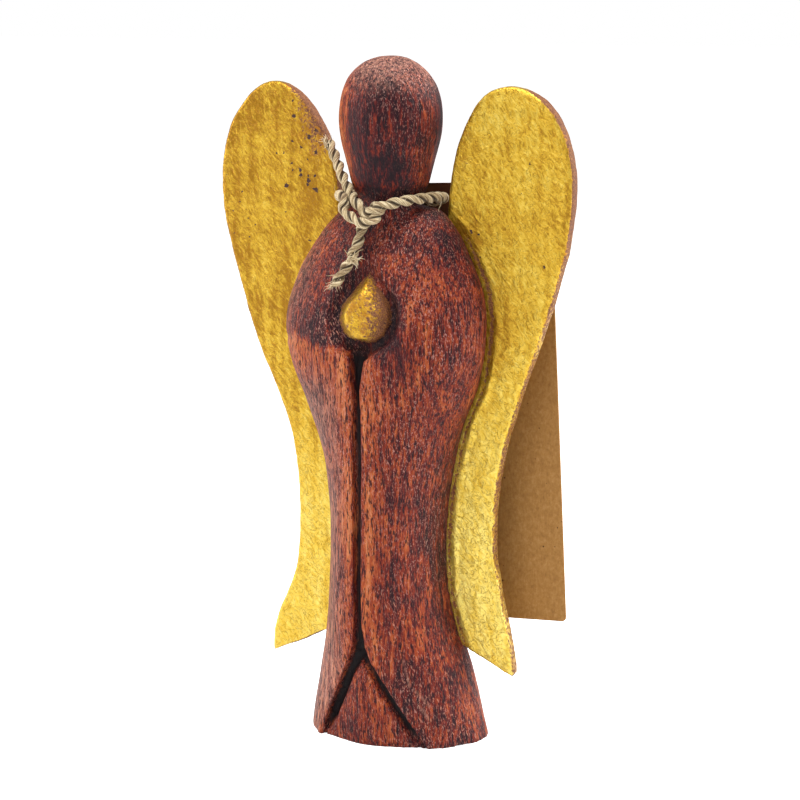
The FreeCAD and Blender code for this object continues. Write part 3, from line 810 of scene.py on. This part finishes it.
def paint_wing(mesh, co, normals, beside, side):
    """Where the leaf is worn through, where it has spots, and its painted light: lighter low down and
    darker by each wing's painted shade.
    """
    crown_wear, spots_out, crown_spots, side_shade = WING_LOOKS[side]
    z = co[:, 2]
    away = side * co[:, 0]
    edge = 1 - smooth_step(0.55, 0.95, np.abs(normals[:, 1]))
    crown = smooth_step(150.0, 190.0, z) * smooth_step(44.0, 26.0, away)
    face = 1 - edge
    worn = 0.08 + 0.08 * cloud(co, (9.0, 9.0, 12.0), 71, 2)
    worn += crown_wear * face * crown * smooth_step(48.0, 26.0, away) * smooth_step(160.0, 180.0, z)
    worn += 0.10 * face * smooth_step(34.0, 22.0, away) * smooth_step(120.0, 170.0, z)
    joint = bump_of(beside, 0.6, 1.0) * smooth_step(SHOULDER_Z, 140.0, z)
    worn += 0.40 * joint + 0.45 * (edge > 0.6) * (normals[:, 2] < -0.5)
    bare_rim = edge * smooth_step(0.1, 0.5, normals[:, 0])
    paint(mesh, "worn", worn + (0.36 + 0.16 * smooth_step(110.0, 160.0, z)) * bare_rim)
    specks = 0.26 * smooth_step(0.1, 0.7, cloud(co, (14.0, 14.0, 18.0), 73, 2))
    specks += 0.27 * bump_of(away, spots_out, 10.0) * bump_of(z, 155.0, 15.0)
    specks += crown_spots * crown * smooth_step(48.0, 30.0, away) * smooth_step(168.0, 184.0, z)
    paint(mesh, "specks", specks + 0.16 * joint)
    # Painted light: the leaf is lighter low down, where light comes up from the floor, and darker all over
    # by the wing's painted shade.
    paint(mesh, "pale", smooth_step(125.0, 60.0, z) - side_shade)


def add_wing(node, side, leaf, body_points):
    """side is -1 for the left wing and 1 for the right one."""
    piece = remeshed(node, WING_VOXEL, node + "_board")
    mesh = piece.data
    co = points_of(mesh)
    co = relaxed(co, edges_of(mesh), np.full(len(co), 0.5), 3)
    set_points(mesh, co)
    normals = normals_of(mesh)
    beside = side * co[:, 0] - np.interp(co[:, 2], HEIGHTS, robe_reach(body_points, side))
    co = co + normals * wing_relief(co, normals, beside)[:, None]
    co[:, 1] = np.clip(co[:, 1], *WING_Y)
    set_points(mesh, co)
    paint_wing(mesh, co, normals, beside, side)
    mesh.materials.append(leaf)
    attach(piece, "figurine")
    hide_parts(node)


# ---- Cord ---------------------------------------------------------------------------------------
def smooth_line(points):
    """Points along the smooth line that has these as its control points."""
    curve = bpy.data.curves.new("cord_line", "CURVE")
    curve.dimensions = "3D"
    spline = curve.splines.new("NURBS")
    spline.points.add(len(points) - 1)
    for slot, point in zip(spline.points, points):
        slot.co = (*(Vector(point) * MM), 1.0)
    spline.order_u = 3
    spline.use_endpoint_u = True
    spline.resolution_u = 12
    holder = bpy.data.objects.new("cord_line", curve)
    line = bpy.data.meshes.new_from_object(holder)
    result = points_of(line)
    bpy.data.objects.remove(holder)
    bpy.data.meshes.remove(line)
    return result


def evenly(points, step):
    """The same line with its points a fixed step apart."""
    lengths = np.linalg.norm(np.diff(points, axis=0), axis=1)
    along = np.concatenate([[0.0], np.cumsum(lengths)])
    count = max(2, int(round(along[-1] / step)) + 1)
    wanted = np.linspace(0.0, along[-1], count)
    return np.stack([np.interp(wanted, along, points[:, axis]) for axis in range(3)], axis=1)


def carried_frames(points):
    """Tangents and two cross directions along a line, carried without twist."""
    tangents = np.gradient(points, axis=0)
    tangents /= np.linalg.norm(tangents, axis=1, keepdims=True)
    across = np.cross(tangents[0], (0.3, 0.2, 1.0))
    first = []
    for tangent in tangents:
        across = across - tangent * np.dot(across, tangent)
        across = across / np.linalg.norm(across)
        first.append(across)
    first = np.array(first)
    return tangents, first, np.cross(tangents, first)


class TubeMesh:
    """Vertices and faces of many tubes, with two painted numbers per point."""

    def __init__(self):
        # self.deep holds each point's painted shade, for the crevices between the strands.
        self.vertices, self.faces, self.stripe, self.deep = [], [], [], []

    def add(self, centres, side, up, wide, deep, stripe, shade):
        """One tube. wide and deep are its half sizes along up and side, a row per ring."""
        start = len(self.vertices)
        count, around = wide.shape
        angles = 2 * math.pi * np.arange(around) / around
        ring = np.cos(angles)[None, :, None] * deep[:, :, None] * side[:, None, :]
        ring = ring + np.sin(angles)[None, :, None] * wide[:, :, None] * up[:, None, :]
        rings = (centres[:, None, :] + ring) * MM
        self.vertices.extend(rings.reshape(-1, 3).tolist())
        self.stripe.extend(stripe.ravel().tolist())
        self.deep.extend(shade.ravel().tolist())
        for k in range(count - 1):
            for j in range(around):
                a, b = start + k * around + j, start + k * around + (j + 1) % around
                self.faces.append((a, b, b + around, a + around))
        last = start + (count - 1) * around
        self.faces.append(tuple(start + j for j in reversed(range(around))))
        self.faces.append(tuple(last + j for j in range(around)))

    def piece(self, name, material):
        made = new_piece(name, self.vertices, self.faces)
        paint(made.data, "stripe", self.stripe)
        paint(made.data, "deep", self.deep)
        made.data.materials.append(material)
        return made


def add_strands(tubes, line, tangents, first, second):
    """Two strands wound round the cord's line, each a bundle of fibres."""
    count, around = len(line), 28
    along = np.linspace(0, np.linalg.norm(np.diff(line, axis=0), axis=1).sum(), count)
    angles = 2 * math.pi * np.arange(around) / around
    ends = smooth_step(0.0, 3.0, along) * smooth_step(0.0, 3.0, along[-1] - along)
    for strand in (0, 1):
        here = np.stack([along, np.full(count, 10.0 * strand), np.zeros(count)], axis=1)
        turn = 2 * math.pi * along / ROPE_PITCH + strand * math.pi + 0.35 * lattice_noise(here, 9.0, 83)
        out = np.cos(turn)[:, None] * first + np.sin(turn)[:, None] * second
        centres = line + out * (STRAND_OFFSET + 0.25 * (1 - ends))[:, None]
        spin = angles[None, :] - 1.1 * along[:, None] / STRAND_WIDE * 0.35
        lengthwise = np.repeat(along[:, None] * 0.22, around, 1)
        grid = np.stack([np.cos(spin) * 1.6, np.sin(spin) * 1.6, lengthwise], axis=2)
        fibres = cloud(grid.reshape(-1, 3) + 31.0 * strand, 0.42, 87, 2).reshape(count, around)
        size = (1 + 0.10 * lattice_noise(here, 5.0, 85))[:, None] * (1 + 0.075 * fibres)
        size = size * (0.72 + 0.28 * ends)[:, None]
        # Painted shade: the side of each strand that faces into the cord is marked darker.
        facing = np.cos(angles)[None, :] * np.ones((count, 1))
        shade = smooth_step(0.1, -0.6, facing) * 0.95
        stripe = 0.46 + 0.52 * fibres + 0.12 * lattice_noise(here, 14.0, 89)[:, None]
        wide, deep = STRAND_WIDE * size, STRAND_DEEP * size
        tubes.add(centres, out, np.cross(tangents, out), wide, deep, stripe, shade)


def add_fibre(tubes, start, heading, length, radius, curl, rng):
    """One loose fibre: a thin tube that wanders as it goes and ends in a point."""
    steps = 9
    points, heading = [np.array(start, float)], np.array(heading, float)
    for _ in range(steps - 1):
        heading = heading + rng.normal(0, curl, 3)
        heading /= np.linalg.norm(heading)
        points.append(points[-1] + heading * length / (steps - 1))
    points = np.array(points)
    _, first, second = carried_frames(points)
    taper = np.linspace(1.0, 0.25, steps)[:, None] * np.ones((1, 5)) * radius
    tone = rng.uniform(0.45, 0.95)
    tubes.add(points, first, second, taper, taper, np.full((steps, 5), tone), np.zeros((steps, 5)))


def add_fray(tubes, line, rng):
    """Loose fibres at both ends, a tuft low on the hanging tail, and a few stray ones."""
    up_end, down_end = line[0] - line[4], line[-1] - line[-5]
    for end, way, count in ((line[0], up_end, 26), (line[-1], down_end, 30)):
        way = way / np.linalg.norm(way)
        for _ in range(count):
            heading = way + rng.normal(0, 0.32, 3)
            start = end - way * rng.uniform(0.5, 2.5) + rng.normal(0, 0.55, 3)
            add_fibre(tubes, start, heading, rng.uniform(1.6, 3.6), rng.uniform(0.07, 0.16), 0.22, rng)
    tuft = line[-int(TUFT_UP / CORD_STEP)]
    for _ in range(30):
        heading = np.array((0.9, -0.35, 0.1)) + rng.normal(0, 0.5, 3)
        start = tuft + np.array((0.9, -1.1, 0.4)) + rng.normal(0, 0.6, 3)
        add_fibre(tubes, start, heading, rng.uniform(1.8, 4.2), rng.uniform(0.08, 0.19), 0.3, rng)
    side = line[np.argmax(line[:, 0])]
    strays = (((-0.2, -0.6, 0.9), 5.0, 0.35), ((0.5, -0.9, 0.2), 4.0, 0.35), ((0.4, -0.8, -0.8), 7.0, 0.25))
    for heading, length, curl in strays:
        add_fibre(tubes, side, heading, length, 0.12, curl, rng)
    for share in (0.16, 0.2, 0.23, 0.26, 0.3, 0.62, 0.7, 0.8, 0.9):
        start = line[int(share * len(line))]
        heading = rng.normal(0, 1, 3)
        heading /= np.linalg.norm(heading)
        add_fibre(tubes, start + heading * 1.3, heading, rng.uniform(1.5, 3.2), 0.06, 0.4, rng)


def add_cord():
    route = TAIL_UP + KNOT_OVER + NECK_LOOP + KNOT_UNDER + TAIL_DOWN
    line = evenly(smooth_line(route), CORD_STEP)
    material = dry_rope()
    rope, loose = TubeMesh(), TubeMesh()
    add_strands(rope, line, *carried_frames(line))
    add_fray(loose, line, np.random.default_rng(7))
    cord, fray = rope.piece("neck_cord", material), loose.piece("cord_fibres", material)
    for piece in (cord, fray):
        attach(piece, "figurine")
    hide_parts("cord_tail_up", "cord_neck_loop", "cord_tail_down", "cord_knot")


# ---- Card ---------------------------------------------------------------------------------------
def on_circle(x, z, radius, angle):
    """A point of the circle round x, z."""
    return x + radius * math.cos(angle), z + radius * math.sin(angle)


def card_outline():
    """The card's edge and its hole as closed rows of (x, z) points, round the hinge."""
    left, right = -CARD_HOLE_OFFSET - CARD_WIDTH / 2, -CARD_HOLE_OFFSET + CARD_WIDTH / 2
    top = CARD_STRIP / 2
    bottom = top - CARD_HEIGHT
    outer = []
    for x, z, start in ((right, top, 0), (left, top, 90), (left, bottom, 180), (right, bottom, 270)):
        middle_x = x - math.copysign(CARD_CORNER, x)
        middle_z = z - math.copysign(CARD_CORNER, z - bottom - 1)  # inwards from the top or the bottom
        for k in range(5):
            outer.append(on_circle(middle_x, middle_z, CARD_CORNER, math.radians(start + k * 22.5)))
    hole_z = top - CARD_STRIP - CARD_HOLE_RADIUS
    hole = [on_circle(0.0, hole_z, CARD_HOLE_RADIUS, k * math.pi / 16) for k in range(32)]
    return outer, hole


def card_sheet():
    """The flat card as an even mesh of triangles."""
    shape = bmesh.new()
    for loop in card_outline():
        ring = [shape.verts.new((x, 0.0, z)) for x, z in loop]
        for a, b in zip(ring, ring[1:] + ring[:1]):
            shape.edges.new((a, b))
    bmesh.ops.triangle_fill(shape, use_beauty=True, edges=shape.edges)
    for _ in range(5):
        long_edges = [e for e in shape.edges if e.calc_length() > CARD_MESH]
        bmesh.ops.subdivide_edges(shape, edges=long_edges, cuts=1)
        bmesh.ops.triangulate(shape, faces=shape.faces)
    mesh = bpy.data.meshes.new("kraft_tag")
    shape.to_mesh(mesh)
    shape.free()
    return mesh


def add_card():
    mesh = card_sheet()
    co = np.array([v.co for v in mesh.vertices])
    below_top = CARD_STRIP / 2 - co[:, 2]
    rise = np.clip(-co[:, 2] / CARD_HEIGHT, 0, 1)
    co[:, 1] += CARD_BOW * np.sin(math.pi * rise) * np.cos(co[:, 0] / CARD_WIDTH * 2.2)
    co[:, 1] += 0.05 * cloud(co, 14.0, 91, 2)
    lean = Matrix.Rotation(math.radians(CARD_LEAN), 3, "X")
    roll = Matrix.Rotation(math.radians(-CARD_ROLL), 3, "Y")
    set_points(mesh, co @ np.array(lean @ roll).T + np.array(CARD_HINGE))
    piece = placed("kraft_tag", mesh)
    thicken(piece, CARD_THICKNESS, 0.0)
    paint(mesh, "below_top", below_top)
    mesh.materials.append(kraft_card())
    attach(piece, "card")
    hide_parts("hanging_card")


def add_dowels():
    """The dowels keep their CAD meshes and get end-grain wood."""
    material = dowel_wood()
    for node in ("wing_dowels_left", "wing_dowels_right"):
        mesh = frame["nodes"][node].data
        mesh.materials.clear()
        mesh.materials.append(material)


add_camera()
add_studio()
gold = gold_leaf()
body = add_body()
add_drop_leaf(body, gold)
body_points = points_of(body.data)
add_wing("wing_left", -1, gold, body_points)
add_wing("wing_right", 1, gold, body_points)
add_dowels()
add_cord()
add_card()
